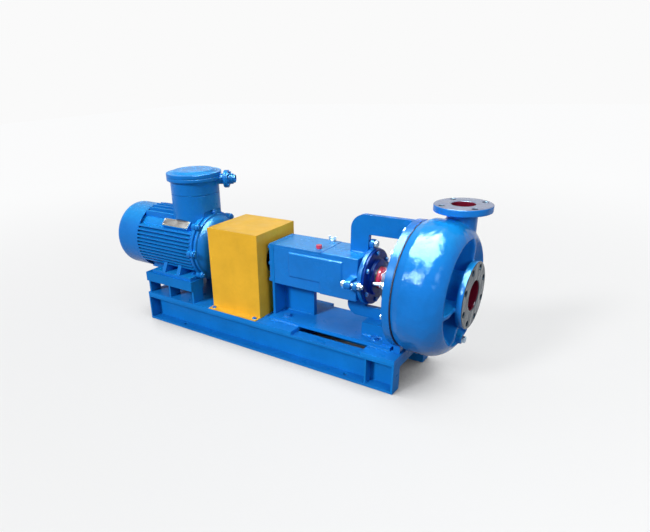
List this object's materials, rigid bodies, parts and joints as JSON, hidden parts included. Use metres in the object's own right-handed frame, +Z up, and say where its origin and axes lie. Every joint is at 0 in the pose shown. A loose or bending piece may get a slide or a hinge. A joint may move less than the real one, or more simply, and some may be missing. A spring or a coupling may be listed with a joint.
{
  "type": "centrifugal oil pump",
  "caption": "Overhung end-suction centrifugal pump with gland packing and an adjustable bearing cartridge, coupled to a finned electric motor on a channel skid.",
  "frame": {"origin": "centre of the rectangle of anchor holes, at the underside of the skid rails", "axes": "+X along the shaft from the motor to the suction flange, +Y across the skid away from the side shown in the picture, +Z up"},
  "size_m": [1.6432, 0.468, 0.689],
  "materials": {
    "skid_paint": "gloss",
    "casting_paint": "gloss",
    "motor_paint": "gloss",
    "guard_paint": "satin",
    "zinc_steel": "satin",
    "shaft_steel": "satin",
    "ball_steel": "polished",
    "bare_iron": "rough",
    "core_steel": "matt",
    "winding_copper": "varnished",
    "fan_alloy": "cast",
    "seal_rubber": "matt",
    "gasket_fibre": "matt",
    "packing_braid": "braided",
    "lantern_brass": "satin",
    "red_plastic": "gloss",
    "plate_metal": "satin"
  },
  "bodies": {
    "frame": {"adjusting_studs": "zinc_steel", "arch_plate": "casting_paint", "bearing_box": "casting_paint", "box_top_cover": "casting_paint", "cable_gland": "motor_paint", "casing": "casting_paint", "casing_bolts": "zinc_steel", "casing_drain_plug": "zinc_steel", "casing_gasket": "gasket_fibre", "casing_ring": "casting_paint", "coupling_guard": "guard_paint", "deck_plates": "skid_paint", "end_bell_bolts": "zinc_steel", "end_bell_front": "motor_paint", "end_bell_rear": "motor_paint", "fan_cowl": "motor_paint", "frame_bolts": "zinc_steel", "gland_studs": "zinc_steel", "lantern_ring": "lantern_brass", "lower_arm": "casting_paint", "motor_bearings": "shaft_steel", "motor_frame": "motor_paint", "motor_stand": "skid_paint", "nameplate_blank": "plate_metal", "oil_filler_plug": "red_plastic", "packing_rings": "packing_braid", "pedestal_base": "skid_paint", "pedestal_plates": "skid_paint", "rail_far": "skid_paint", "rail_near": "skid_paint", "rear_bearing_cover": "casting_paint", "rear_oil_seal": "seal_rubber", "skid_cross_members": "skid_paint", "stator_core": "core_steel", "stator_windings": "winding_copper", "stuffing_box": "bare_iron", "terminal_box": "motor_paint", "terminal_lid": "motor_paint"},
    "cartridge": {"bearing_cartridge": "casting_paint", "front_bearing_cover": "casting_paint", "front_cover_bolts": "zinc_steel", "front_oil_seal": "seal_rubber", "adjusting_nuts": "zinc_steel", "pump_outer_races": "shaft_steel"},
    "pump_rotor": {"pump_shaft": "shaft_steel", "pump_inner_races": "shaft_steel", "oil_deflector": "red_plastic", "shaft_sleeve": "shaft_steel", "impeller": "bare_iron", "impeller_nut": "shaft_steel", "coupling_hub_pump": "bare_iron"},
    "pump_balls": {"pump_bearing_balls": "ball_steel"},
    "motor_rotor": {"motor_shaft": "shaft_steel", "rotor_core": "core_steel", "cooling_fan": "fan_alloy", "coupling_hub_motor": "bare_iron", "coupling_spider": "seal_rubber"},
    "gland": {"gland_follower": "bare_iron", "gland_nuts": "zinc_steel"},
    "dipstick": {"dipstick": "zinc_steel"}
  },
  "joints": [
    {"name": "motor_spin", "type": "hinge", "parent": "frame", "child": "motor_rotor", "pos_m": [-0.4, 0, 0.363], "axis": [1, 0, 0], "continuous": true},
    {"name": "cartridge_adjust", "type": "slide", "parent": "frame", "child": "cartridge", "axis": [1, 0, 0], "range_m": [-0.0015, 0.0015]},
    {"name": "pump_spin", "type": "hinge", "parent": "cartridge", "child": "pump_rotor", "pos_m": [0.3, 0, 0.363], "axis": [1, 0, 0], "continuous": true},
    {"name": "ball_orbit", "type": "hinge", "parent": "cartridge", "child": "pump_balls", "pos_m": [0.3, 0, 0.363], "axis": [1, 0, 0], "continuous": true},
    {"name": "gland_slide", "type": "slide", "parent": "frame", "child": "gland", "axis": [1, 0, 0], "range_m": [-0.01, 0]},
    {"name": "dipstick_pull", "type": "slide", "parent": "frame", "child": "dipstick", "axis": [0, 0, 1], "range_m": [0, 0.06]}
  ],
  "couplings": [
    {"joint": "pump_spin", "follows": "motor_spin", "ratio": 1},
    {"joint": "ball_orbit", "follows": "motor_spin", "ratio": 0.4063}
  ]
}
